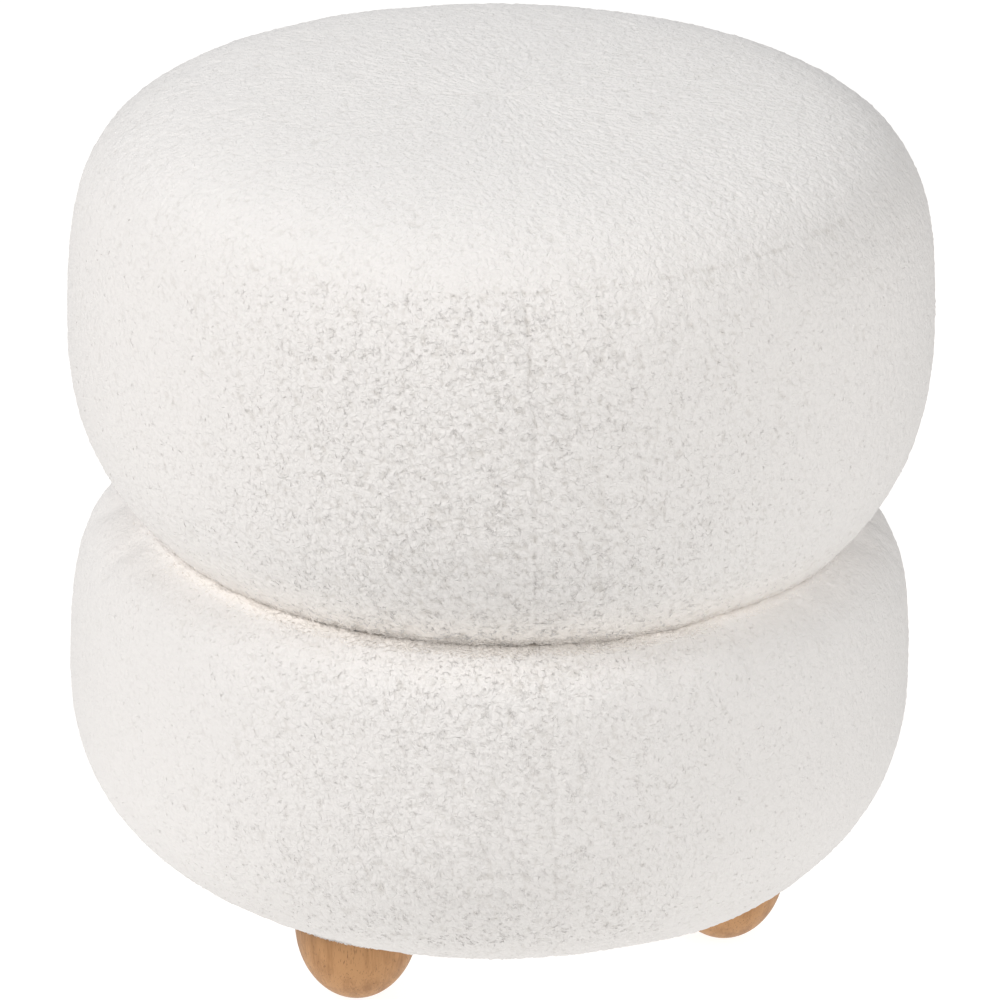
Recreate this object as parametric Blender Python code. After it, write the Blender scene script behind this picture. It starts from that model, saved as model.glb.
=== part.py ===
"""Round two-tier footstool: two filled cushions covered in looped cloth, one standing on the other,
on three turned wooden ball feet. Metres, +Z up, origin on the floor under the middle of the upper
cushion. Azimuths run from the front (-Y) towards +X."""

import math

import bmesh
import bpy

CLEARANCE = 0.0003

UPPER_RADIUS = 0.200
TOP_HEIGHT = 0.4125
UPPER_WIDEST_HEIGHT = 0.302
CROWN_LEVEL_RADIUS = 0.179  # the crown bends over here, from upright to level

# The crease between the cushions: the cloth turns in and lies flat behind it.
CREASE_HEIGHT = 0.2113
CREASE_FLAT_RADIUS = 0.160
UPPER_WAIST_DROP = 0.040
UPPER_WAIST_TURN = 0.183
LOWER_WAIST_RISE = 0.046
LOWER_WAIST_TURN = 0.190

LOWER_SHIFT = -0.003  # the lower cushion and its feet sit a little to the left of the upper one
LOWER_RADIUS = 0.1963
LOWER_WIDEST_HEIGHT = 0.1315
SKIRT_DROP = 0.048
SKIRT_TURN = (0.1725, 0.0557)
SKIRT_END = (0.1335, 0.0397)
BASE_EDGE_TURN = 0.1245
BASE_RADIUS = 0.112
BASE_HEIGHT = 0.036

SEAM_HALF_WIDTH = 0.0045
TOP_SEAM_DEPTH = 0.0022
SIDE_SEAM_DEPTH = 0.0018
TOP_SEAM_SHARE = 0.37  # place of the top panel's seam between the widest ring and the middle
TOP_SEAM_SIDE = 0.03  # a ring lies this far above and below the seam, in the same shares
TOP_SEAM_SLANT = 0.042  # the seam was sewn on lower at the left than at the right

# The side seam of each cover as (height, azimuth in degrees), from the top down.
UPPER_SIDE_SEAM = ((0.385, 3.2), (0.335, 4.2), (0.265, 4.8), (0.211, 5.8))
LOWER_SIDE_SEAM = ((0.211, 6.6), (0.165, 8.2), (0.100, 9.4), (0.055, 11.8), (0.036, 13.5))

COLUMNS = 72
CROWN_RINGS = 10
SHOULDER_RINGS = 6
WAIST_RINGS = 7
SKIRT_RINGS = 8
EDGE_RINGS = 3

FOOT_RADIUS = 0.0288
FOOT_BALL_HEIGHT = 0.0359  # from the floor to the widest ring
FOOT_TOP = 0.0462  # the foot stands in a round hollow that it presses into the stuffed base
FOOT_FLAT_RADIUS = 0.0075
FOOT_SIDES = 32
FOOT_RINGS = 9
CUTTER_DEPTH = 0.030
# Each foot's name, its distance from the lower cushion's middle and its azimuth in degrees.
FEET = (
    ("foot_front", 0.104, -34.7),
    ("foot_right", 0.113, 83.3),
    ("foot_rear", 0.108, 204.3),
)

CLOTH_COLOUR = (0.80, 0.78, 0.75, 1.0)
WOOD_COLOUR = (0.60, 0.36, 0.17, 1.0)


def clear_scene():
    for obj in list(bpy.data.objects):
        bpy.data.objects.remove(obj, do_unlink=True)


def make_material(name, colour, roughness):
    material = bpy.data.materials.new(name)
    material.use_nodes = True
    shader = material.node_tree.nodes["Principled BSDF"]
    shader.inputs["Base Color"].default_value = colour
    shader.inputs["Roughness"].default_value = roughness
    shader.inputs["Metallic"].default_value = 0.0
    material.diffuse_color = colour
    return material


def along(curve, share):
    """The (radius, height) at a share of the run of a cubic curve of two ends and two handles."""
    rest = 1 - share
    weights = (rest**3, 3 * rest**2 * share, 3 * rest * share**2, share**3)
    return tuple(sum(w * point[i] for w, point in zip(weights, curve)) for i in (0, 1))


def seam_azimuth(rows, height):
    """Azimuth of a side seam at a height, in radians, read between the rows of its table."""
    if height >= rows[0][0]:
        return math.radians(rows[0][1])
    for (high, start), (low, end) in zip(rows, rows[1:]):
        if height >= low:
            return math.radians(start + (end - start) * (high - height) / (high - low))
    return math.radians(rows[-1][1])


def unevenness(azimuth, height):
    """Share by which the stuffing swells or sinks the cloth at a place."""
    broad = 0.0035 * math.sin(2 * azimuth + 0.8 + 9 * height)
    lumps = 0.0022 * math.sin(5 * azimuth - 1.1 - 23 * height) * math.sin(31 * height + 0.4)
    return broad + lumps


def cover_ring(place, side_seam, ring_dent=0.0, side_dent=0.0, shift=0.0):
    """One ring of a cover. place gives its radius and height at an azimuth, the dents are how far
    the ring's own seam and the side seam sink in, and shift moves the ring along X. Three of its
    columns follow the side seam."""
    start = seam_azimuth(side_seam, place(0.0)[1])
    beside = SEAM_HALF_WIDTH / UPPER_RADIUS
    even = [math.tau * i / COLUMNS for i in range(1, COLUMNS)]
    points = []
    for offset in (0.0, beside, *even, math.tau - beside):
        azimuth = start + offset
        radius, height = place(azimuth)
        sink = max(ring_dent, side_dent) if offset == 0.0 else ring_dent
        slope = math.atan2(height - UPPER_WIDEST_HEIGHT, radius) if ring_dent else 0.0
        radius = (radius - sink * math.cos(slope)) * (1 + unevenness(azimuth, height))
        height -= sink * math.sin(slope)
        points.append((shift + radius * math.sin(azimuth), -radius * math.cos(azimuth), height))
    return points


def shares(count):
    return [i / count for i in range(1, count + 1)]


def upper_rings():
    """Rings of the upper cover, from beside the middle of its top down to the flat underside."""
    underside = CREASE_HEIGHT + CLEARANCE / 2
    crown = (
        (UPPER_RADIUS, UPPER_WIDEST_HEIGHT),
        (UPPER_RADIUS, TOP_HEIGHT),
        (CROWN_LEVEL_RADIUS, TOP_HEIGHT),
        (0.0, TOP_HEIGHT),
    )
    waist = (
        (UPPER_RADIUS, UPPER_WIDEST_HEIGHT),
        (UPPER_RADIUS, UPPER_WIDEST_HEIGHT - UPPER_WAIST_DROP),
        (UPPER_WAIST_TURN, underside),
        (CREASE_FLAT_RADIUS, underside),
    )

    def seam_share(azimuth):
        return TOP_SEAM_SHARE + TOP_SEAM_SLANT * math.sin(azimuth)

    def on_panel(part):
        def place(azimuth):
            low = seam_share(azimuth) + TOP_SEAM_SIDE
            return along(crown, low + (1 - low) * part)

        return place

    def on_shoulder(part):
        return lambda azimuth: along(crown, (seam_share(azimuth) - TOP_SEAM_SIDE) * part)

    def below_widest(part):
        return lambda azimuth: along(waist, part)

    rings = []

    def add(place, **dents):
        rings.append(cover_ring(place, UPPER_SIDE_SEAM, **dents))

    for part in reversed([0.0, *shares(CROWN_RINGS)[:-1]]):
        add(on_panel(part))
    add(lambda azimuth: along(crown, seam_share(azimuth)), ring_dent=TOP_SEAM_DEPTH)
    for part in reversed(shares(SHOULDER_RINGS)):
        add(on_shoulder(part), side_dent=SIDE_SEAM_DEPTH)
    for part in [0.0, *shares(WAIST_RINGS)]:
        add(below_widest(part), side_dent=SIDE_SEAM_DEPTH * (1 - part))
    return rings


def lower_rings():
    """Rings of the lower cover, from the flat top at the crease down to the flat base."""
    top = CREASE_HEIGHT - CLEARANCE / 2
    waist = (
        (CREASE_FLAT_RADIUS, top),
        (LOWER_WAIST_TURN, top),
        (LOWER_RADIUS, LOWER_WIDEST_HEIGHT + LOWER_WAIST_RISE),
        (LOWER_RADIUS, LOWER_WIDEST_HEIGHT),
    )
    skirt = (
        (LOWER_RADIUS, LOWER_WIDEST_HEIGHT),
        (LOWER_RADIUS, LOWER_WIDEST_HEIGHT - SKIRT_DROP),
        SKIRT_TURN,
        SKIRT_END,
    )
    edge = (
        SKIRT_END,
        (BASE_EDGE_TURN, BASE_HEIGHT),
        ((BASE_EDGE_TURN + BASE_RADIUS) / 2, BASE_HEIGHT),
        (BASE_RADIUS, BASE_HEIGHT),
    )
    rings = []

    def add(curve, part, dent):
        point = along(curve, part)
        rings.append(cover_ring(lambda azimuth: point, LOWER_SIDE_SEAM, 0.0, dent, LOWER_SHIFT))

    for part in [0.0, *shares(WAIST_RINGS)]:
        add(waist, part, SIDE_SEAM_DEPTH * part)
    for part in shares(SKIRT_RINGS):
        add(skirt, part, SIDE_SEAM_DEPTH)
    for part in shares(EDGE_RINGS):
        add(edge, part, SIDE_SEAM_DEPTH * (1 - part))
    return rings


def add_object(name, mesh, material):
    mesh.materials.append(material)
    mesh.shade_smooth()
    obj = bpy.data.objects.new(name, mesh)
    bpy.context.scene.collection.objects.link(obj)
    return obj


def mesh_from_rings(name, rings, top_point=None):
    """A closed mesh through rings that run down the outside, capped flat, or by a fan at top_point."""
    bm = bmesh.new()
    rows = [[bm.verts.new(point) for point in ring] for ring in rings]
    count = len(rows[0])
    for upper, lower in zip(rows, rows[1:]):
        for i in range(count):
            j = (i + 1) % count
            bm.faces.new((upper[i], lower[i], lower[j], upper[j]))
    if top_point:
        middle = bm.verts.new(top_point)
        for i in range(count):
            bm.faces.new((middle, rows[0][i], rows[0][(i + 1) % count]))
    else:
        bm.faces.new(rows[0])
    bm.faces.new(reversed(rows[-1]))
    mesh = bpy.data.meshes.new(name)
    bm.to_mesh(mesh)
    bm.free()
    return mesh


def round_ring(radius, height):
    angles = [math.tau * i / FOOT_SIDES for i in range(FOOT_SIDES)]
    return [(radius * math.sin(a), -radius * math.cos(a), height) for a in angles]


def foot_mesh():
    """A turned ball foot: straight top, round below its widest ring, small flat on the floor."""
    lowest = math.acos(FOOT_FLAT_RADIUS / FOOT_RADIUS)
    deepest = math.sin(lowest)
    rings = [round_ring(FOOT_RADIUS, FOOT_TOP)]
    for share in [0.0, *shares(FOOT_RINGS)]:
        angle = lowest * share
        height = FOOT_BALL_HEIGHT * (1 - math.sin(angle) / deepest)
        rings.append(round_ring(FOOT_RADIUS * math.cos(angle), height))
    return mesh_from_rings("ball_foot", rings)


def foot_place(distance, azimuth):
    angle = math.radians(azimuth)
    return (LOWER_SHIFT + distance * math.sin(angle), -distance * math.cos(angle), 0.0)


def make_feet(wood):
    mesh = foot_mesh()
    mesh.materials.append(wood)
    mesh.shade_smooth()
    for name, distance, azimuth in FEET:
        foot = bpy.data.objects.new(name, mesh)
        foot.location = foot_place(distance, azimuth)
        bpy.context.scene.collection.objects.link(foot)


def press_hollow(cushion, name, distance, azimuth):
    """Cuts the round hollow in the base that a foot stands in."""
    radius = FOOT_RADIUS + CLEARANCE
    top = FOOT_TOP + CLEARANCE
    rings = [round_ring(radius, top), round_ring(radius, top - CUTTER_DEPTH)]
    cutter = bpy.data.objects.new(name + "_hollow", mesh_from_rings(name + "_hollow", rings))
    cutter.location = foot_place(distance, azimuth)
    cutter.hide_render = True
    cutter.display_type = "WIRE"
    bpy.context.scene.collection.objects.link(cutter)
    cut = cushion.modifiers.new(name + "_hollow", "BOOLEAN")
    cut.operation = "DIFFERENCE"
    cut.solver = "EXACT"
    cut.object = cutter


def make_cushions(cloth):
    crown_middle = (0.0, 0.0, TOP_HEIGHT)
    add_object("upper_cushion", mesh_from_rings("upper_cushion", upper_rings(), crown_middle), cloth)
    lower = add_object("lower_cushion", mesh_from_rings("lower_cushion", lower_rings()), cloth)
    for name, distance, azimuth in FEET:
        press_hollow(lower, name, distance, azimuth)


clear_scene()
make_cushions(make_material("looped_cloth", CLOTH_COLOUR, 0.95))
make_feet(make_material("oiled_wood", WOOD_COLOUR, 0.5))
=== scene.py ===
import math
import bmesh
import bpy
import numpy as np
from mathutils import Matrix, Vector, kdtree, noise


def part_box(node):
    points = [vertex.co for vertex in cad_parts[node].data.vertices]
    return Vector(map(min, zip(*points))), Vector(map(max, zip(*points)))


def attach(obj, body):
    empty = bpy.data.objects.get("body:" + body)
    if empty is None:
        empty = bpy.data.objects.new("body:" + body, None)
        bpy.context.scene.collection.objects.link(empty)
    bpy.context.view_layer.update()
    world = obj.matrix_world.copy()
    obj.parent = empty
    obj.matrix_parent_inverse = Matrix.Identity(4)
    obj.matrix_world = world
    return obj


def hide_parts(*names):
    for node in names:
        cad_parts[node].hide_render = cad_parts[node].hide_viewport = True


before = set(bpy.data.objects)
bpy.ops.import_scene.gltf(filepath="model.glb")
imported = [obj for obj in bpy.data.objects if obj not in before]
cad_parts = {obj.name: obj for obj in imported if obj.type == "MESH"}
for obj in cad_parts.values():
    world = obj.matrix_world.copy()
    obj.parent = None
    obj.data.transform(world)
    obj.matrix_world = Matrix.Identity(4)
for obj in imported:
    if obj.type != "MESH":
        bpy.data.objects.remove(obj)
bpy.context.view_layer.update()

print("Frame loaded:", ", ".join(sorted(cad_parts)))
noise.seed_set(7)   # the pile falls the same way in each run


# Curves and covers

def curveAt(curve, share):
    # (radius, height) on a cubic curve of two ends and two handles
    rest = 1 - share
    weights = np.array([rest**3, 3 * rest**2 * share, 3 * rest * share**2, share**3])
    return weights.T @ np.array(curve)


def evenPath(curves, count, closer=(1.0, 1.0)):
    # chains curves, each with its start and end share, and steps along them evenly,
    # or closer together at the first or the last end
    finely = 60
    dense = np.concatenate([
        curveAt(curve, np.linspace(start, end, finely)) for curve, start, end in curves])
    gaps = np.hypot(*np.diff(dense, axis=0).T)
    run = np.concatenate([[0.0], np.cumsum(gaps)])
    steps = np.linspace(0, 1, count) ** closer[0]
    steps = run[-1] * (1 - (1 - steps) ** closer[1])
    return np.stack([np.interp(steps, run, dense[:, i]) for i in (0, 1)], axis=1)


def around(radius, azimuth, height, shift=0.0):
    # azimuth runs from the front towards the right
    return np.stack([shift + radius * np.sin(azimuth), -radius * np.cos(azimuth), height], axis=-1)


def newPiece(name, points, faces):
    mesh = bpy.data.meshes.new(name)
    mesh.from_pydata([tuple(p) for p in points], [], faces)
    mesh.update()
    piece = bpy.data.objects.new(name, mesh)
    bpy.context.scene.collection.objects.link(piece)
    return piece


def pathAround(path, azimuth, shift=0.0):
    # puts a path of (radius, height) rows at one azimuth
    return around(path[:, 0], azimuth, path[:, 1], shift)


def roundCage(name, pathOf, columns, rows, shift=0.0):
    # a band or round panel, its rings in order, with closer columns at the front than at the back;
    # also gives the ring number of each point
    closerAtFront = 0.25
    turns = np.linspace(0, math.tau, columns, endpoint=False)
    turns = turns - closerAtFront * np.sin(turns)
    grid = np.stack([pathAround(pathOf(turn, rows + 1), turn, shift) for turn in turns], axis=1)
    faces = []
    for row in range(rows):
        for column in range(columns):
            after = (column + 1) % columns
            faces.append((row * columns + column, (row + 1) * columns + column,
                          (row + 1) * columns + after, row * columns + after))
    return newPiece(name, grid.reshape(-1, 3), faces), np.repeat(np.arange(rows + 1), columns)


def coordinates(mesh):
    flat = np.empty(len(mesh.vertices) * 3, np.float32)
    mesh.vertices.foreach_get("co", flat)
    return flat.reshape(-1, 3).astype(float)


def putCoordinates(mesh, points):
    mesh.vertices.foreach_set("co", points.astype(np.float32).ravel())
    mesh.update()


def normals(mesh):
    flat = np.empty(len(mesh.vertices) * 3, np.float32)
    mesh.vertex_normals.foreach_get("vector", flat)
    return flat.reshape(-1, 3).astype(float)


def distances(points, line):
    # how far each point is from the line, and the number of the nearest point on it
    tree = kdtree.KDTree(len(line))
    for i, p in enumerate(line):
        tree.insert(p, i)
    tree.balance()
    found = [tree.find(p) for p in points]
    return np.array([f[2] for f in found]), np.array([f[1] for f in found])


filling = {
    "pressure": 4.0,
    "frames": 20,
    "slack": 0.004,      # the cover starts drawn in by this much, and the filling swells it
    "fullness": 0.005,   # share by which the cloth is cut fuller than that
    "most": 0.0052,      # no point moves further than this
    "edge": 0.030,       # the slack fades out this close to a sewn edge
}


def takeIn(piece, sewn):
    # draws the cover in, away from its sewn edges
    mesh = piece.data
    points, outward = coordinates(mesh), normals(mesh)
    away, _ = distances(points, points[sewn])
    ease = np.clip(away / filling["edge"], 0, 1)
    ease = ease * ease * (3 - 2 * ease)
    putCoordinates(mesh, points - outward * (filling["slack"] * ease)[:, None])


def fillCover(piece, rings, sewnRings, taut=0.0):
    # the filling presses the cloth out between its sewn rings; each ring keeps its mean size,
    # and taut is the share of the unevenness that pulling the cloth tight takes out again
    sewn = np.flatnonzero(np.isin(rings, sewnRings))
    mesh = piece.data
    pattern, outward = coordinates(mesh), normals(mesh)
    takeIn(piece, sewn)
    start = coordinates(mesh)
    group = piece.vertex_groups.new(name="sewn")
    group.add([int(i) for i in sewn], 1.0, "REPLACE")
    cloth = piece.modifiers.new("filling", "CLOTH")
    settings = cloth.settings
    settings.quality = 6
    settings.mass = 0.3
    settings.tension_stiffness = 20
    settings.compression_stiffness = 20
    settings.bending_stiffness = 2.0
    settings.shrink_min = -filling["fullness"]
    settings.use_pressure = True
    settings.uniform_pressure_force = filling["pressure"]
    settings.effector_weights.gravity = 0
    settings.vertex_group_mass = "sewn"
    cloth.collision_settings.use_collision = False
    cloth.point_cache.frame_end = filling["frames"]
    for number in range(1, filling["frames"] + 1):
        bpy.context.scene.frame_set(number)
    pressed = piece.evaluated_get(bpy.context.evaluated_depsgraph_get()).data
    move = coordinates(pressed) - start
    piece.modifiers.remove(cloth)
    piece.vertex_groups.clear()
    bpy.context.scene.frame_set(1)
    length = np.linalg.norm(move, axis=1)
    move *= np.minimum(1, filling["most"] / np.maximum(length, 1e-9))[:, None]
    swell = ((start + move - pattern) * outward).sum(axis=1)
    mean = np.bincount(rings, swell) / np.maximum(np.bincount(rings), 1)
    filled = start + move - outward * mean[rings][:, None]
    putCoordinates(mesh, filled + (pattern - filled) * taut)
    print(f"  {piece.name}: filled, swelled unevenly by {(swell - mean[rings]).std() * 1000:.2f} mm")


def refine(piece, levels=2):
    finer = piece.modifiers.new("finer", "SUBSURF")
    finer.levels = finer.render_levels = levels
    graph = bpy.context.evaluated_depsgraph_get()
    mesh = bpy.data.meshes.new_from_object(piece.evaluated_get(graph))
    mesh.name = piece.name
    piece.modifiers.clear()
    old, piece.data = piece.data, mesh
    bpy.data.meshes.remove(old)
    mesh.shade_smooth()


# The looped pile: curled yarn felted into small tufts, with gaps between them

pile = {
    "tuft": 0.0034,         # across one tuft
    "tuftHeight": 0.00055,
    "curl": 0.0030,
    "curlHeight": 0.00045,
    "patch": 0.013,         # brushed and pressed in patches
    "patchHeight": 0.00040,
    "warp": 0.0020,         # the tufts are pushed out of their even places
    "warpSize": 0.007,
    "gap": 0.45,            # share of a tuft's width that slopes down to its gap
    "middle": 0.75,         # share of the tufts' height that lies under the cloth's own place
    "unevenTufts": 0.7,
    "inset": 0.0004,        # the tufts stand about this proud of the backing
    "open": 0.98,           # the pile stands open at the front
    "dense": 0.62,          # and lies denser round the sides
    "pressed": 0.87,        # on the lower cushion it is pressed a little
    "flattened": 0.70,      # and on the top, which is sat on
    "openAt": -0.05,        # azimuth and width of the open front, in radians
    "openWidth": 0.65,
    "flatSlope": (0.35, 0.4),   # upward slope where the flattening starts, and how soon it is full
    "flatAbove": 0.3,
    "seamShadow": 0.6,      # painted shadow: the colour is darker in a seam's groove
    "thinAtCrease": 0.004,  # the backing comes up to the crease line over this reach
}


def smooth(value, low, high):
    share = min(1.0, max(0.0, (value - low) / (high - low)))
    return share * share * (3 - 2 * share)


def pileHeights(points):
    heights = np.empty(len(points))
    for i, p in enumerate(points):
        place = Vector(p)
        place += noise.noise_vector(place / pile["warpSize"]) * pile["warp"]
        near, second = noise.voronoi(place / pile["tuft"])[0][:2]
        tuft = smooth(second - near, 0.0, pile["gap"]) - pile["middle"]
        curl = noise.noise(place / pile["curl"])
        patch = noise.noise(place / pile["patch"])
        heights[i] = (tuft * pile["tuftHeight"] * (1 + pile["unevenTufts"] * patch)
                      + curl * pile["curlHeight"] + patch * pile["patchHeight"])
    return heights


def azimuthOf(points):
    return np.arctan2(points[:, 0], -points[:, 1])


def pileLoft(points, outward):
    # how far the pile stands up
    front = np.exp(-((azimuthOf(points) - pile["openAt"]) / pile["openWidth"]) ** 2)
    loft = pile["dense"] + (pile["open"] - pile["dense"]) * front
    loft *= np.where(points[:, 2] < upperLow.z, pile["pressed"], 1)
    start, width = pile["flatSlope"]
    flat = np.clip((outward[:, 2] - start) / width, 0, 1) * (points[:, 2] > pile["flatAbove"])
    return loft + (pile["flattened"] - loft) * flat


def drawAttributes(piece, shade, loft, creaseLight):
    for name, value in (("pileShade", shade), ("pileLoft", loft), ("creaseLightShare", creaseLight)):
        drawn = piece.data.attributes.new(name, "FLOAT", "POINT")
        drawn.data.foreach_set("value", value.astype(np.float32))


def raisePile(piece, seams, above=None):
    # the cloth dips to its seams and keeps its place at the crease, where the cushions meet;
    # above tells on which side of the crease the piece lies
    mesh = piece.data
    points, outward = coordinates(mesh), normals(mesh)
    loft = pileLoft(points, outward)
    height = pileHeights(points) * loft
    sunk = np.zeros(len(points))
    shadow = np.zeros(len(points))
    for seam in seams:
        away, nearest = distances(points, seam["line"])
        pull = seam["pull"][nearest]
        dip = np.exp(-(away / seam["dipWidth"]) ** 2)
        groove = np.exp(-(away / seam["grooveWidth"]) ** 2)
        sunk += pull * (seam["dip"] * dip + seam["groove"] * groove)
        shadow += pile["seamShadow"] * pull * groove
    inset = np.full(len(points), pile["inset"])
    creaseLight = np.zeros(len(points))
    if above is not None:
        azimuth = azimuthOf(points)
        rest = creaseLevel(azimuth)
        rise = points[:, 2] - rest
        inset *= 1 - np.exp(-(rise / pile["thinAtCrease"]) ** 2)
        # painted light: this mask brightens and warms the colour close to the crease, where the cushions
        # shade each other
        creaseLight = np.exp(-(rise / crease["creaseLightReach"][0 if above else 1]) ** 2
                       - (azimuth / crease["creaseLightSpread"]) ** 4)
    points += outward * (height - sunk - inset)[:, None]
    if above:
        points[:, 2] = np.maximum(points[:, 2], rest)
    elif above is not None:
        points[:, 2] = np.minimum(points[:, 2], rest)
    putCoordinates(mesh, points)
    # painted shade: pileShade is low in the pile's gaps and seam grooves, and there the material darkens
    # the colour
    drawAttributes(piece, height / pile["tuftHeight"] - shadow, loft, creaseLight)
    print(f"  {piece.name}: pile raised on {len(points)} points, {len(mesh.polygons) * 2} triangles")


def closeEnd(piece, isEnd):
    # a plain disc closes the ring of open edges that isEnd picks by their place
    bm = bmesh.new()
    bm.from_mesh(piece.data)
    ends = [e for e in bm.edges if e.is_boundary and isEnd(e.verts[0].co)]
    centre = bm.verts.new(sum((e.verts[0].co for e in ends), Vector()) / len(ends))
    for edge in ends:
        loop = edge.link_loops[0]
        bm.faces.new((edge.other_vert(loop.vert), loop.vert, centre)).smooth = True
    bm.to_mesh(piece.data)
    bm.free()


def inMiddle(place):
    return place.xy.length < 0.01


def atCrease(place):
    return lowerCushion["widest"] < place.z < upperCushion["widest"]


def openEdge(piece, low, high):
    # the points of the outer open edge between two heights
    middle = 0.05
    bm = bmesh.new()
    bm.from_mesh(piece.data)
    rim = {v.index for e in bm.edges if e.is_boundary for v in e.verts
           if low < v.co.z < high and v.co.xy.length > middle}
    bm.free()
    return np.array(sorted(rim))


def sewOn(first, second, low, high):
    # joins two panels along the edges that lie between these heights, with one slope across the seam
    pieces = first, second
    places = [coordinates(piece.data) for piece in pieces]
    slopes = [normals(piece.data) for piece in pieces]
    rims = [openEdge(piece, low, high) for piece in pieces]
    _, nearest = distances(places[0][rims[0]], places[1][rims[1]])
    rims[1] = rims[1][nearest]
    place = (places[0][rims[0]] + places[1][rims[1]]) / 2
    slope = slopes[0][rims[0]] + slopes[1][rims[1]]
    slope /= np.linalg.norm(slope, axis=1)[:, None]
    for i in (0, 1):
        places[i][rims[i]], slopes[i][rims[i]] = place, slope
        putCoordinates(pieces[i].data, places[i])
        pieces[i].data.normals_split_custom_set_from_vertices(slopes[i])
    print(f"  {first.name} sewn to {second.name}: {len(place)} and {len(set(rims[1]))} stitches")


# Crease

upperLow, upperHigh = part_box("upper_cushion")
lowerLow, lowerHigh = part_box("lower_cushion")
crease = {
    "radius": 0.163,
    "front": 0.006,             # the cushions press on each other further out at the front
    "tilt": 0.0020,             # and meet a little higher at the left
    "waver": ((0.72, 0.25, 0.0022), (-0.30, 0.35, -0.0008)),    # azimuth, width and rise
    "upper": (0.0248, 0.0231),  # how the covers leave it: out and up, out and down
    "lower": (0.0188, 0.0109),
    "creaseLightReach": (0.018, 0.0020),  # painted light: the colour is brightened and warmed this close, above and below
    "creaseLightSpread": 1.1,         # and it is so to this many radians from the front
}


def creaseRadius(azimuth):
    return crease["radius"] + crease["front"] * np.maximum(0, np.cos(azimuth)) ** 2


def creaseLevel(azimuth):
    level = (upperLow.z + lowerHigh.z) / 2 - crease["tilt"] * np.sin(azimuth)
    for middle, width, rise in crease["waver"]:
        off = (azimuth - middle + math.pi) % math.tau - math.pi
        level = level + rise * np.exp(-(off / width) ** 2)
    return level


# Upper cushion

upperCushion = {
    "radius": 0.200,
    "top": upperHigh.z,
    "widest": 0.302,        # height of its widest ring
    "levelRadius": 0.179,   # the crown's curve is drawn level from here
    "waistDrop": 0.0404,    # the side leaves its widest ring this steadily towards the crease
    "seamShare": 0.37,      # the top panel's seam, as a share of the crown's curve
    "seamSlant": 0.042,
    "topTaut": 0.8,         # the top panel is pulled tight, so that its edge lies in no pleats
    "middle": 0.998,        # the top panel ends here on the same curve, and a disc closes it
    "columns": 210,
    "rows": 29,
    "sideSeam": ((0.385, 3.2), (0.335, 4.2), (0.265, 4.8), (0.211, 5.8)),   # height and degrees
}
seamCloth = {
    "topDip": 0.0004,       # how the cloth sinks to a seam: widely, and in its own groove
    "topDipWidth": 0.006,
    "topGroove": 0.0005,
    "topGrooveWidth": 0.0013,
    "sideDip": 0.0005,
    "sideDipWidth": 0.005,
    "sideGroove": 0.0009,
    "sideGrooveWidth": 0.0011,
    "topPulls": ((0.55, 0.55, 0.88), (3.6, 1.0, 0.45)),     # azimuth, width and pull
    "topPull": 0.12,
    "wander": 0.0010,       # a side seam wanders this far from its line
    "wanderSize": 0.012,
    "sidePull": (0.55, 0.9),
    "sidePullSize": 0.016,
}


def upperCurves(azimuth=0.0):
    c = upperCushion
    crown = ((c["radius"], c["widest"]), (c["radius"], c["top"]),
             (c["levelRadius"], c["top"]), (0.0, c["top"]))
    radius, level = creaseRadius(azimuth), creaseLevel(azimuth)
    waist = ((c["radius"], c["widest"]), (c["radius"], c["widest"] - c["waistDrop"]),
             (radius + crease["upper"][0], level + crease["upper"][1]), (radius, level))
    return crown, waist


def topSeamShare(azimuth):
    # sewn on lower at the left than at the right
    return upperCushion["seamShare"] + upperCushion["seamSlant"] * math.sin(azimuth)


def topPanelPath(azimuth, count):
    crown, _ = upperCurves()
    return evenPath([(crown, upperCushion["middle"], topSeamShare(azimuth))], count)


def upperBandPath(azimuth, count):
    crown, waist = upperCurves(azimuth)
    return evenPath([(crown, topSeamShare(azimuth), 0.0), (waist, 0.0, 1.0)], count, (1.0, 1.2))


def topSeam(count=1600):
    # pulled in most at the front right, and nearly lost in the pile at the left
    crown, _ = upperCurves()
    turns = np.linspace(0, math.tau, count, endpoint=False)
    line = [pathAround(curveAt(crown, topSeamShare(turn))[None], turn)[0] for turn in turns]
    pull = np.full(count, seamCloth["topPull"])
    for middle, width, share in seamCloth["topPulls"]:
        pull += share * np.exp(-((turns - middle) / width) ** 2)
    return {"line": line, "pull": pull,
            "dip": seamCloth["topDip"], "dipWidth": seamCloth["topDipWidth"],
            "groove": seamCloth["topGroove"], "grooveWidth": seamCloth["topGrooveWidth"]}


def sideSeam(rows, pathOf, shift=0.0, count=700):
    # sewn by hand and eye: it wanders a little and is pulled in unevenly
    s = seamCloth
    pullMean, pullUneven = s["sidePull"]
    heights, degrees = zip(*reversed(rows))
    line, pull = [], []
    for radius, height in pathOf(math.radians(degrees[0]), count):
        azimuth = math.radians(np.interp(height, heights, degrees))
        wander = s["wander"] * noise.noise(Vector((3.0, height / s["wanderSize"], 0.0)))
        line.append(around(radius, azimuth + wander / radius, height, shift))
        pull.append(pullMean + pullUneven * noise.noise(Vector((7.0, height / s["sidePullSize"], 2.0))))
    return {"line": line, "pull": np.array(pull),
            "dip": s["sideDip"], "dipWidth": s["sideDipWidth"],
            "groove": s["sideGroove"], "grooveWidth": s["sideGrooveWidth"]}


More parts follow.
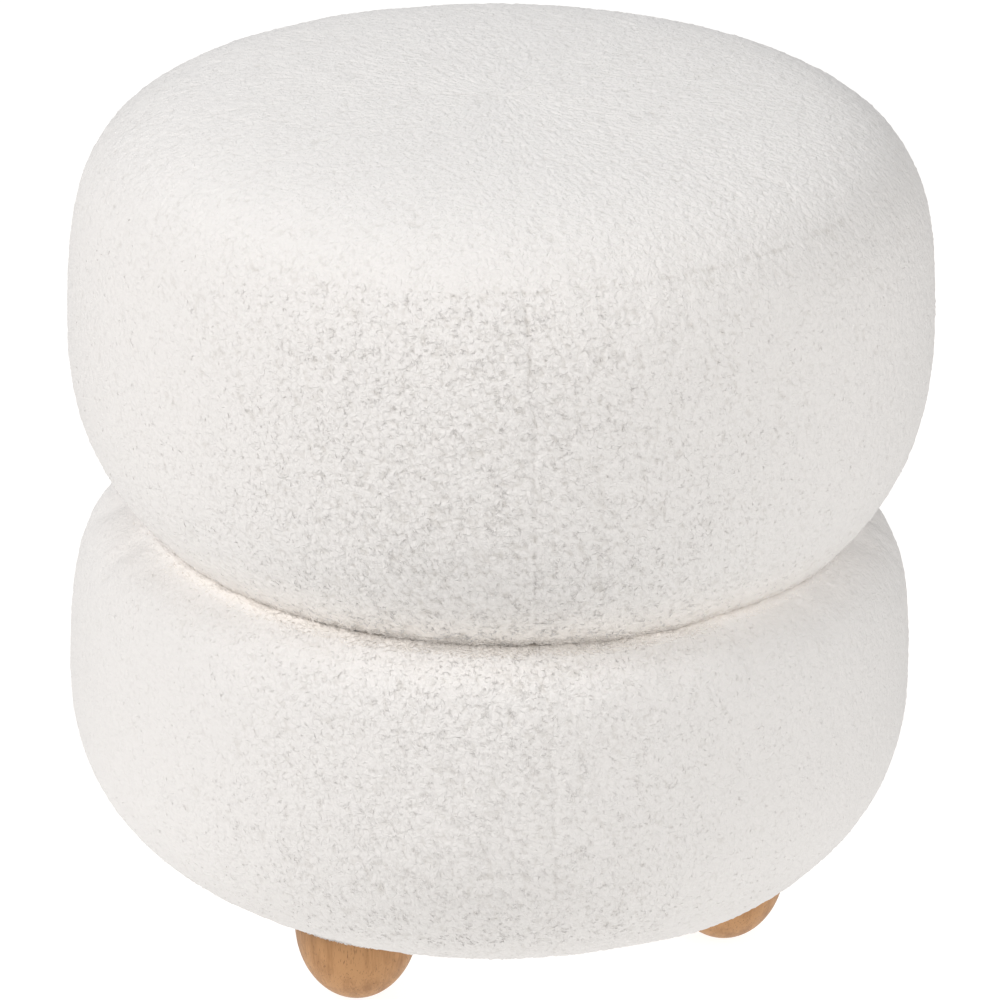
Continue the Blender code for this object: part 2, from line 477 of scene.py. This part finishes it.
def makeUpperCushion():
    c = upperCushion
    seams = [topSeam(), sideSeam(c["sideSeam"], upperBandPath)]
    panel, rings = roundCage("topPanel", topPanelPath, c["columns"], c["rows"])
    fillCover(panel, rings, [c["rows"]], c["topTaut"])
    refine(panel)
    raisePile(panel, seams)
    closeEnd(panel, inMiddle)
    band, rings = roundCage("upperBand", upperBandPath, c["columns"], c["rows"])
    fillCover(band, rings, [0, c["rows"]])
    refine(band)
    raisePile(band, seams, above=True)
    closeEnd(band, atCrease)
    sewOn(panel, band, c["widest"], math.inf)
    return panel, band, looseLoops("upperLoops", band, 5)


# Loose loops of yarn that stand out of the pile, most of them at the front and along the crease

loops = {
    "count": 3000,
    "atCrease": 1300,
    "atFoot": 260,       # the pile hangs over the top of each foot
    "spread": 0.75,      # radians to both sides of the front
    "reach": 0.0035,     # the crease has them up to this far from the line
    "length": (0.0018, 0.0034),
    "height": (0.0004, 0.0010),
    "yarn": (0.00016, 0.00026),
    "outOfCrease": (0.0002, 0.02),  # how far out from the crease line they may stand
    "overFoot": (0.040, 0.046),     # distance from a foot's middle, and height
    "rooted": 0.0002,               # both ends are sunk this deep in the pile
    "shade": (0.1, 0.6),
    "steps": 5,                     # rings of points along one loop, and points in each ring
    "sides": 3,
}


def looseLoops(name, cover, seed, feetPlaces=()):
    random = np.random.default_rng(seed)
    points, outward = coordinates(cover.data), normals(cover.data)
    azimuth = azimuthOf(points)
    rise = points[:, 2] - creaseLevel(azimuth)
    out = np.hypot(points[:, 0], points[:, 1]) - creaseRadius(azimuth)
    least, most = loops["outOfCrease"]
    near = (np.abs(rise) < loops["reach"]) & (out > least) & (out < most)
    weight = np.exp(-(azimuth / loops["spread"]) ** 2) * (out > least)
    groups = [(loops["count"], weight * ~near), (loops["atCrease"], weight * near)]
    for place in feetPlaces:
        away = np.hypot(points[:, 0] - place.x, points[:, 1] - place.y)
        reach, height = loops["overFoot"]
        groups.append((loops["atFoot"], 1.0 * (away < reach) * (points[:, 2] < height)))
    spots = []
    for number, share in groups:
        number = min(number, np.count_nonzero(share))
        spots.extend(random.choice(len(points), number, replace=False, p=share / share.sum()))
    count = len(spots)
    centre, up, turn = points[spots], outward[spots], azimuth[spots]
    level = np.stack([np.cos(turn), np.sin(turn), np.zeros(count)], axis=1)
    level -= up * (level * up).sum(axis=1)[:, None]
    level /= np.linalg.norm(level, axis=1)[:, None]
    crosswise = np.cross(up, level)
    angle = random.uniform(-math.pi / 2, math.pi / 2, count) * np.where(near[spots], 0.5, 1)
    ahead = level * np.cos(angle)[:, None] + crosswise * np.sin(angle)[:, None]
    side = np.cross(up, ahead)
    loft = pileLoft(centre, up)
    length, height, yarn = (
        random.uniform(*loops[key], count) * loft for key in ("length", "height", "yarn"))
    bend = random.uniform(-0.5, 0.5, count) * length
    steps, sides = loops["steps"], loops["sides"]
    rings = []
    for share in np.linspace(0, 1, steps):
        arch = math.sin(math.pi * share)
        middle = (centre + ahead * ((share - 0.5) * length)[:, None] + side * (bend * arch)[:, None]
                  + up * (height * arch - loops["rooted"])[:, None])
        for corner in range(sides):
            swing = corner * math.tau / sides
            rings.append(middle + (up * math.cos(swing) + side * math.sin(swing)) * yarn[:, None])
    tubes = np.stack(rings, axis=1).reshape(-1, 3)
    each = steps * sides
    faces = []
    for first in range(0, count * each, each):
        for ring in range(0, each - sides, sides):
            for corner in range(sides):
                a, b = first + ring + corner, first + ring + (corner + 1) % sides
                faces.append((a, b, b + sides, a + sides))
    piece = newPiece(name, tubes, faces)
    piece.data.shade_smooth()
    shade = np.repeat(random.uniform(*loops["shade"], count), each)
    # loops at the crease take the full painted light of the crease tint
    drawAttributes(piece, shade, np.repeat(loft, each), np.repeat(near[spots] * 1.0, each))
    print(f"  {name}: {count} loops, {len(faces) * 2} triangles")
    return piece


# Lower cushion

lowerCushion = {
    "shift": -0.003,
    "radius": 0.1963,
    "widest": 0.1315,
    "bottom": lowerLow.z,
    "waistRise": 0.0787,        # the same, up towards the crease
    "skirtDrop": 0.048,
    "skirtTurn": (0.1725, 0.0557),
    "skirtEnd": (0.1335, 0.0397),
    "sag": 0.0030,              # the skirt hangs lower at the front right
    "sagAt": 0.84,
    "sagWidth": 0.22,
    "edgeTurn": 0.1245,
    "baseRadius": 0.112,        # the base is flat inside this
    "middle": 0.99,             # the panel ends here on that line, and a disc closes it
    "columns": 204,
    "rows": 30,
    "baseRows": 14,
    "sideSeam": ((0.211, 6.6), (0.165, 8.2), (0.100, 9.4), (0.055, 11.8), (0.036, 13.5)),
}


def lowerCurves(azimuth=0.0):
    c = lowerCushion
    radius, level = creaseRadius(azimuth), creaseLevel(azimuth)
    waist = ((radius, level), (radius + crease["lower"][0], level - crease["lower"][1]),
             (c["radius"], c["widest"] + c["waistRise"]), (c["radius"], c["widest"]))
    sag = c["sag"] * math.exp(-((azimuth - c["sagAt"]) / c["sagWidth"]) ** 2)
    turn, end = ((out, up - sag) for out, up in (c["skirtTurn"], c["skirtEnd"]))
    skirt = ((c["radius"], c["widest"]), (c["radius"], c["widest"] - c["skirtDrop"]), turn, end)
    edge = (end, (c["edgeTurn"], c["bottom"]),
            ((c["edgeTurn"] + c["baseRadius"]) / 2, c["bottom"]), (c["baseRadius"], c["bottom"]))
    flat = ((c["baseRadius"], c["bottom"]), (c["baseRadius"] * 0.6, c["bottom"]),
            (c["baseRadius"] * 0.3, c["bottom"]), (0.0, c["bottom"]))
    return waist, skirt, edge, flat


def lowerBandPath(azimuth, count):
    waist, skirt, _, _ = lowerCurves(azimuth)
    return evenPath([(waist, 0.0, 1.0), (skirt, 0.0, 1.0)], count, (1.25, 1.0))


def basePanelPath(azimuth, count):
    _, _, edge, flat = lowerCurves(azimuth)
    return evenPath([(edge, 0.0, 1.0), (flat, 0.0, lowerCushion["middle"])], count, (1.2, 1.0))


feet = ("foot_front", "foot_right", "foot_rear")
footShape = {
    "radius": 0.0288,
    "ballHeight": 0.0359,   # the ball is full width at this height
    "top": 0.0462,
    "flatRadius": 0.0075,   # the flat spot that it stands on
    "bevel": 0.0012,
    "rings": 22,
    "sides": 96,
}
hollow = {
    "below": 0.060,         # only cloth under this height is pressed
    "gap": 0.0010,          # round a foot
    "roof": 0.0012,         # and over it
    "lip": 0.0012,          # the cloth swells this much round a foot
    "lipAway": 0.003,
    "lipWidth": 0.004,
}


def footPlace(node):
    low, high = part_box(node)
    return Vector(((low.x + high.x) / 2, (low.y + high.y) / 2, 0.0))


def pressHollows(piece):
    # the feet stand in the base, and the cloth swells a little round them
    mesh = piece.data
    points = coordinates(mesh)
    for node in feet:
        place = footPlace(node)
        away = np.hypot(points[:, 0] - place.x, points[:, 1] - place.y)
        under = points[:, 2] < hollow["below"]
        lip = np.exp(-((away - footShape["radius"] - hollow["lipAway"]) / hollow["lipWidth"]) ** 2)
        points[:, 2] -= under * lip * hollow["lip"]
        inside = under & (away < footShape["radius"] + hollow["gap"])
        points[inside, 2] = footShape["top"] + hollow["roof"]
    putCoordinates(mesh, points)


def makeLowerCushion():
    c = lowerCushion
    seams = [sideSeam(c["sideSeam"], lowerBandPath, c["shift"])]
    band, rings = roundCage("lowerBand", lowerBandPath, c["columns"], c["rows"], c["shift"])
    fillCover(band, rings, [0, c["rows"]])
    refine(band)
    raisePile(band, seams, above=False)
    closeEnd(band, atCrease)
    pressHollows(band)
    panel, _ = roundCage("basePanel", basePanelPath, c["columns"], c["baseRows"], c["shift"])
    refine(panel)
    raisePile(panel, seams)
    closeEnd(panel, inMiddle)
    pressHollows(panel)
    sewOn(band, panel, 0.0, c["widest"])
    return band, panel, looseLoops("lowerLoops", band, 6, [footPlace(node) for node in feet])


# Feet

def makeFoot(node):
    f = footShape
    lowest = math.acos(f["flatRadius"] / f["radius"])
    rings = [(f["radius"] - f["bevel"], f["top"]), (f["radius"], f["top"] - f["bevel"])]
    for share in np.linspace(0, 1, f["rings"]):
        height = f["ballHeight"] * (1 - math.sin(lowest * share) / math.sin(lowest))
        rings.append((f["radius"] * math.cos(lowest * share), height))
    place = footPlace(node)
    sides = f["sides"]
    turns = np.linspace(0, math.tau, sides, endpoint=False)
    points, faces = [], []
    for radius, height in rings:
        points.extend(around(radius, turns, np.full(sides, height)) + np.array(place))
    last = (len(rings) - 1) * sides
    for ring in range(0, last, sides):
        for i in range(sides):
            j = (i + 1) % sides
            faces.append((ring + i, ring + sides + i, ring + sides + j, ring + j))
    faces.append(tuple(range(sides)))
    faces.append(tuple(reversed(range(last, last + sides))))
    name = "turned" + "".join(word.capitalize() for word in node.split("_"))
    foot = newPiece(name, points, faces)
    foot.data.shade_smooth()
    return foot


# Finishes

def newMaterial(name):
    material = bpy.data.materials.new(name)
    material.use_nodes = True
    nodes = material.node_tree.nodes
    return material, nodes, material.node_tree.links, nodes["Principled BSDF"]


def worked(nodes, links, operation, *values):
    # a Math node; each value is a number or the socket that feeds it
    node = nodes.new("ShaderNodeMath")
    node.operation = operation
    for socket, value in zip(node.inputs, values):
        if isinstance(value, (int, float)):
            socket.default_value = value
        else:
            links.new(value, socket)
    return node.outputs["Value"]


def noiseAt(nodes, links, place, scale, detail=0.0, rough=0.5):
    node = nodes.new("ShaderNodeTexNoise")
    node.inputs["Scale"].default_value = scale
    node.inputs["Detail"].default_value = detail
    node.inputs["Roughness"].default_value = rough
    links.new(place, node.inputs["Vector"])
    return node.outputs


def warpedPlace(nodes, links, place, scale, reach):
    drift = noiseAt(nodes, links, place, scale, 1.0)["Color"]
    shift = nodes.new("ShaderNodeVectorMath")
    shift.operation = "MULTIPLY_ADD"
    shift.inputs[1].default_value = (reach, reach, reach)
    links.new(drift, shift.inputs[0])
    links.new(place, shift.inputs[2])
    return shift.outputs["Vector"]


loopedCloth = {
    "loopColour": (0.80, 0.778, 0.762, 1),
    # painted shade: the darker colour that the pile's gaps and seam grooves take
    "gapShadeColour": (0.56, 0.53, 0.495, 1),
    # painted light: near the crease the colour is multiplied by this brighter, warmer tint
    "creaseLightTint": (1.24, 1.215, 1.18, 1),
    "curlScale": 250,      # the yarn curls round in rings 3 to 4 mm across
    "curlTurns": 4.0,
    "curlShare": 0.25,
    "grainScale": 360,
    "fibreScale": 560,
    "warpScale": 380,      # the pattern is pushed about by this noise, so that no yarn lies straight
    "warpReach": 0.0030,
    "relief": 0.0010,
    "reliefShade": 0.35,
    "fullColourAt": 0.62,
    "roughness": 0.9,
    "specular": 0.2,
    "sheen": 0.2,
    "sheenRoughness": 0.5,
}


def loopedClothMaterial():
    c = loopedCloth
    material, nodes, links, shader = newMaterial("loopedCloth")

    def drawn(name):
        node = nodes.new("ShaderNodeAttribute")
        node.attribute_name = name
        return node.outputs["Fac"]

    place = nodes.new("ShaderNodeTexCoord").outputs["Object"]
    place = warpedPlace(nodes, links, place, c["warpScale"], c["warpReach"])
    swirl = noiseAt(nodes, links, place, c["curlScale"])["Fac"]
    curl = worked(nodes, links, "SINE", worked(nodes, links, "MULTIPLY", swirl, math.tau * c["curlTurns"]))
    fibre = noiseAt(nodes, links, place, c["fibreScale"], 2.0, 0.6)["Fac"]
    fibre = worked(nodes, links, "MULTIPLY_ADD", fibre, 2.6, -1.3)
    grain = nodes.new("ShaderNodeTexVoronoi")
    grain.inputs["Scale"].default_value = c["grainScale"]
    links.new(place, grain.inputs["Vector"])
    grain = worked(nodes, links, "MULTIPLY_ADD", grain.outputs["Distance"], -2.2, 1.1)
    yarn = worked(nodes, links, "ADD", fibre, grain)
    relief = worked(nodes, links, "MULTIPLY_ADD", curl, c["curlShare"], yarn)
    relief = worked(nodes, links, "MULTIPLY", relief, drawn("pileLoft"))
    bump = nodes.new("ShaderNodeBump")
    bump.inputs["Strength"].default_value = 1.0
    bump.inputs["Distance"].default_value = c["relief"]
    links.new(worked(nodes, links, "MULTIPLY_ADD", relief, 0.3, 0.5), bump.inputs["Height"])
    links.new(bump.outputs["Normal"], shader.inputs["Normal"])
    # painted shade: where the relief and the pile are low, the colour darkens towards the gap colour
    depth = worked(nodes, links, "MULTIPLY_ADD", relief, c["reliefShade"], drawn("pileShade"))
    colours = nodes.new("ShaderNodeValToRGB")
    colours.color_ramp.elements[0].position = 0.0
    colours.color_ramp.elements[0].color = c["gapShadeColour"]
    colours.color_ramp.elements[1].position = c["fullColourAt"]
    colours.color_ramp.elements[1].color = c["loopColour"]
    links.new(worked(nodes, links, "MULTIPLY_ADD", depth, 0.4, 0.8), colours.inputs["Fac"])
    # painted light: the crease mask multiplies the colour by the brighter, warmer crease tint
    creaseLight = nodes.new("ShaderNodeMix")
    creaseLight.data_type = "RGBA"
    creaseLight.blend_type = "MULTIPLY"
    creaseLight.inputs[7].default_value = c["creaseLightTint"]
    links.new(drawn("creaseLightShare"), creaseLight.inputs[0])
    links.new(colours.outputs["Color"], creaseLight.inputs[6])
    links.new(creaseLight.outputs[2], shader.inputs["Base Color"])
    shader.inputs["Roughness"].default_value = c["roughness"]
    shader.inputs["Specular IOR Level"].default_value = c["specular"]
    shader.inputs["Sheen Weight"].default_value = c["sheen"]
    shader.inputs["Sheen Roughness"].default_value = c["sheenRoughness"]
    return material


turnedWood = {
    "light": (0.52, 0.275, 0.118, 1),
    "dark": (0.37, 0.18, 0.068, 1),
    "pore": (0.17, 0.075, 0.03, 1),
    "yearRings": (150, 12),     # scales across and along the grain
    "fibres": (900, 60),
    "pores": (1900, 260),
    "poreShare": 0.7,
    "relief": 0.0002,
    "roughness": 0.5,
    "specular": 0.35,
}


def turnedWoodMaterial():
    # upright grain with short dark pores
    w = turnedWood
    material, nodes, links, shader = newMaterial("turnedWood")
    place = nodes.new("ShaderNodeTexCoord").outputs["Object"]

    def along(across, length, turn=0.0):
        grain = nodes.new("ShaderNodeMapping")
        grain.inputs["Scale"].default_value = (across, across * 0.8, length)
        grain.inputs["Rotation"].default_value = (0.05, 0.04, turn)
        links.new(place, grain.inputs["Vector"])
        return grain.outputs["Vector"]

    year = noiseAt(nodes, links, along(*w["yearRings"]), 1.0, 2.0)["Fac"]
    fibre = noiseAt(nodes, links, along(*w["fibres"], 0.4), 1.0, 2.0)["Fac"]
    grain = worked(nodes, links, "MULTIPLY_ADD", fibre, 0.5, year)
    colours = nodes.new("ShaderNodeValToRGB")
    colours.color_ramp.elements[0].position = 0.55
    colours.color_ramp.elements[0].color = w["dark"]
    colours.color_ramp.elements[1].position = 0.85
    colours.color_ramp.elements[1].color = w["light"]
    links.new(grain, colours.inputs["Fac"])
    pores = noiseAt(nodes, links, along(*w["pores"], 0.8), 1.0, 1.0)["Fac"]
    pores = worked(nodes, links, "MULTIPLY_ADD", pores, 9.0, -5.6)
    pores = worked(nodes, links, "SMOOTH_MIN", pores, 1.0, 0.1)
    pores = worked(nodes, links, "MAXIMUM", pores, 0.0)
    mix = nodes.new("ShaderNodeMix")
    mix.data_type = "RGBA"
    mix.inputs[7].default_value = w["pore"]
    links.new(worked(nodes, links, "MULTIPLY", pores, w["poreShare"]), mix.inputs[0])
    links.new(colours.outputs["Color"], mix.inputs[6])
    links.new(mix.outputs[2], shader.inputs["Base Color"])
    bump = nodes.new("ShaderNodeBump")
    bump.inputs["Strength"].default_value = 0.5
    bump.inputs["Distance"].default_value = w["relief"]
    links.new(worked(nodes, links, "SUBTRACT", grain, pores), bump.inputs["Height"])
    links.new(bump.outputs["Normal"], shader.inputs["Normal"])
    shader.inputs["Roughness"].default_value = w["roughness"]
    shader.inputs["Specular IOR Level"].default_value = w["specular"]
    return material


# Studio

studio = {
    "world": 0.18,
    "worldColour": (0.93, 0.97, 1.0, 1),
    "floorColour": (0.22, 0.22, 0.22, 1),
    "glowColour": (1.0, 0.988, 0.97, 1),
    "floorGlow": 0.93,
    "floorHalf": 9,
    # axis, where the glow starts to fade, where it ends, and the share that is left there
    "glowFades": (("X", -0.4, -0.9, 0.55), ("X", 0.4, 0.9, 0.8), ("Y", -0.2, -0.5, 0.83)),
    "aim": (0, 0, 0.2),
    "softboxes": {  # place, size across, watts, colour
        "leftSoftbox": ((-1.5, -0.8, 1.5), 1.1, 27.2, (1.0, 0.985, 0.975)),
        "rightSoftbox": ((1.38, -1.0, 1.5), 1.1, 19.2, (1.0, 0.985, 0.97)),
        "frontSoftbox": ((-0.3, -2.15, 1.15), 1.1, 8.1, (1.0, 0.975, 0.94)),
        "backSoftbox": ((-0.4, 1.2, 1.7), 1.1, 10.8, (0.95, 0.975, 1.0)),
    },
}
view = {
    "elevation": 22.0,
    "distance": 4.0,
    "aim": (0.0009, 0.0, 0.2125),
    "turn": -0.91,          # the picture is turned clockwise by this many degrees
    "focalLength": 310,     # in millimetres, as the sensor's width is
    "sensorWidth": 36,
}


def makeCamera():
    rise, turn = math.radians(view["elevation"]), math.radians(view["turn"])
    back = Vector((0, -math.cos(rise), math.sin(rise)))
    right = Vector((1, 0, 0))
    up = back.cross(right)
    across = right * math.cos(turn) - up * math.sin(turn)
    upright = right * math.sin(turn) + up * math.cos(turn)
    data = bpy.data.cameras.new("camera")
    data.lens = view["focalLength"]
    data.sensor_width = view["sensorWidth"]
    camera = bpy.data.objects.new("camera", data)
    place = Vector(view["aim"]) + back * view["distance"]
    facing = Matrix((across, upright, back)).transposed().to_4x4()
    camera.matrix_world = Matrix.Translation(place) @ facing
    bpy.context.scene.collection.objects.link(camera)
    bpy.context.scene.camera = camera


def makeStudio():
    scene = bpy.context.scene
    scene.view_settings.view_transform = "Standard"
    world = bpy.data.worlds.new("studioWalls")
    world.use_nodes = True
    world.node_tree.nodes["Background"].inputs["Color"].default_value = studio["worldColour"]
    world.node_tree.nodes["Background"].inputs["Strength"].default_value = studio["world"]
    scene.world = world
    aim = Vector(studio["aim"])
    for name, (place, across, watts, colour) in studio["softboxes"].items():
        data = bpy.data.lights.new(name, "AREA")
        data.size = across
        data.energy = watts
        data.color = colour
        light = bpy.data.objects.new(name, data)
        light.location = place
        light.rotation_euler = (Vector(place) - aim).to_track_quat("Z", "Y").to_euler()
        light.visible_camera = False
        scene.collection.objects.link(light)
    half = studio["floorHalf"]
    corners = [(-half, -half, 0), (half, -half, 0), (half, half, 0), (-half, half, 0)]
    floor = newPiece("studioFloor", corners, [(0, 1, 2, 3)])
    material, nodes, links, shader = newMaterial("paleFloor")
    shader.inputs["Base Color"].default_value = studio["floorColour"]
    shader.inputs["Roughness"].default_value = 0.8
    shader.inputs["Specular IOR Level"].default_value = 0.1
    shader.inputs["Emission Color"].default_value = studio["glowColour"]
    # the glow is full behind the stool and fades towards the other sides
    place = nodes.new("ShaderNodeSeparateXYZ")
    links.new(nodes.new("ShaderNodeTexCoord").outputs["Object"], place.inputs["Vector"])
    strength = studio["floorGlow"]
    for axis, full, faded, share in studio["glowFades"]:
        fade = nodes.new("ShaderNodeMapRange")
        for name, value in (("From Min", full), ("From Max", faded), ("To Min", 1), ("To Max", share)):
            fade.inputs[name].default_value = value
        links.new(place.outputs[axis], fade.inputs["Value"])
        strength = worked(nodes, links, "MULTIPLY", fade.outputs["Result"], strength)
    links.new(strength, shader.inputs["Emission Strength"])
    floor.data.materials.append(material)


# Assembly

makeCamera()
makeStudio()
print("Studio ready")
cloth, wood = loopedClothMaterial(), turnedWoodMaterial()
for made, node in ((makeUpperCushion(), "upper_cushion"), (makeLowerCushion(), "lower_cushion")):
    for piece in made:
        piece.data.materials.clear()
        piece.data.materials.append(cloth)
        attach(piece, "root")
        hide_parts(node)
print("Cushions filled and covered")
for node in feet:
    foot = makeFoot(node)
    foot.data.materials.append(wood)
    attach(foot, "root")
    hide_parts(node)
print("Feet turned")
